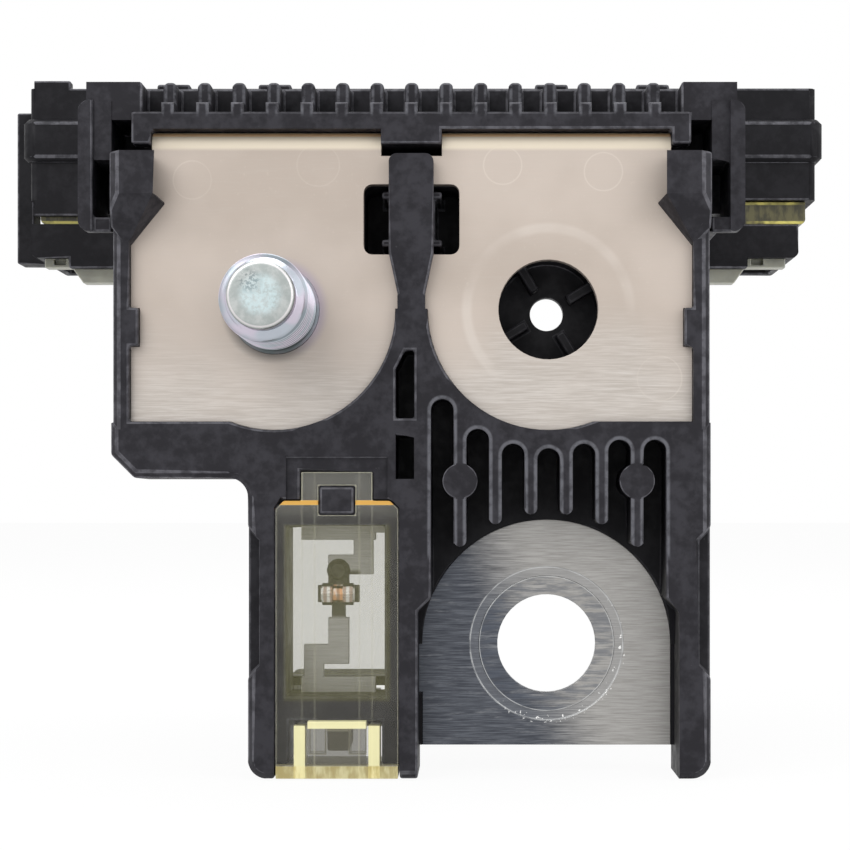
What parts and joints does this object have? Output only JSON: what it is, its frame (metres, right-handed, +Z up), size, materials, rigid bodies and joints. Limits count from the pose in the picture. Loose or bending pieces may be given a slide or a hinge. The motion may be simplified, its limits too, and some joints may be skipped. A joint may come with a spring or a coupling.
{
  "type": "battery terminal fuse holder",
  "caption": "Insert-moulded fuse unit that bolts to a battery clamp: ring tab, twin terminal plates with a stud, and a level row of strip fuses with a connector behind.",
  "frame": {"origin": "centre of the battery hole, on the front face of the ring tab", "axes": "+X to the right, +Y back through the tab towards the connector, +Z up"},
  "size_m": [0.0945, 0.0798, 0.0749],
  "materials": {
    "tinned_sheet": "brushed",
    "zinc_steel": "satin",
    "black_plastic": "matte",
    "clear_plastic": "clear",
    "natural_plastic": "satin",
    "tin": "satin"
  },
  "bodies": {
    "unit": {"bus_sheet": "tinned_sheet", "terminal_stud": "zinc_steel", "front_housing": "black_plastic", "level_housing": "black_plastic", "front_pellet": "tin", "left_tray": "clear_plastic", "right_tray": "clear_plastic", "left_lower_shell": "black_plastic", "right_lower_shell": "black_plastic", "left_lock_insert": "natural_plastic", "right_lock_insert": "natural_plastic", "level_pellet_1": "tin", "level_pellet_2": "tin", "level_pellet_3": "tin", "level_pellet_4": "tin", "level_pellet_5": "tin"},
    "front_cover": {"front_window_cover": "clear_plastic"},
    "back_cover": {"back_window_cover": "clear_plastic"},
    "top_cover": {"top_window_cover": "clear_plastic"},
    "bottom_cover": {"bottom_window_cover": "clear_plastic"}
  },
  "joints": [
    {"name": "front_cover_slide", "type": "slide", "parent": "unit", "child": "front_cover", "axis": [0, -1, 0], "range_m": [0, 0.015]},
    {"name": "back_cover_slide", "type": "slide", "parent": "unit", "child": "back_cover", "axis": [0, 1, 0], "range_m": [0, 0.012]},
    {"name": "top_cover_slide", "type": "slide", "parent": "unit", "child": "top_cover", "axis": [0, 0, 1], "range_m": [0, 0.015]},
    {"name": "bottom_cover_slide", "type": "slide", "parent": "unit", "child": "bottom_cover", "axis": [0, 0, -1], "range_m": [0, 0.012]}
  ]
}
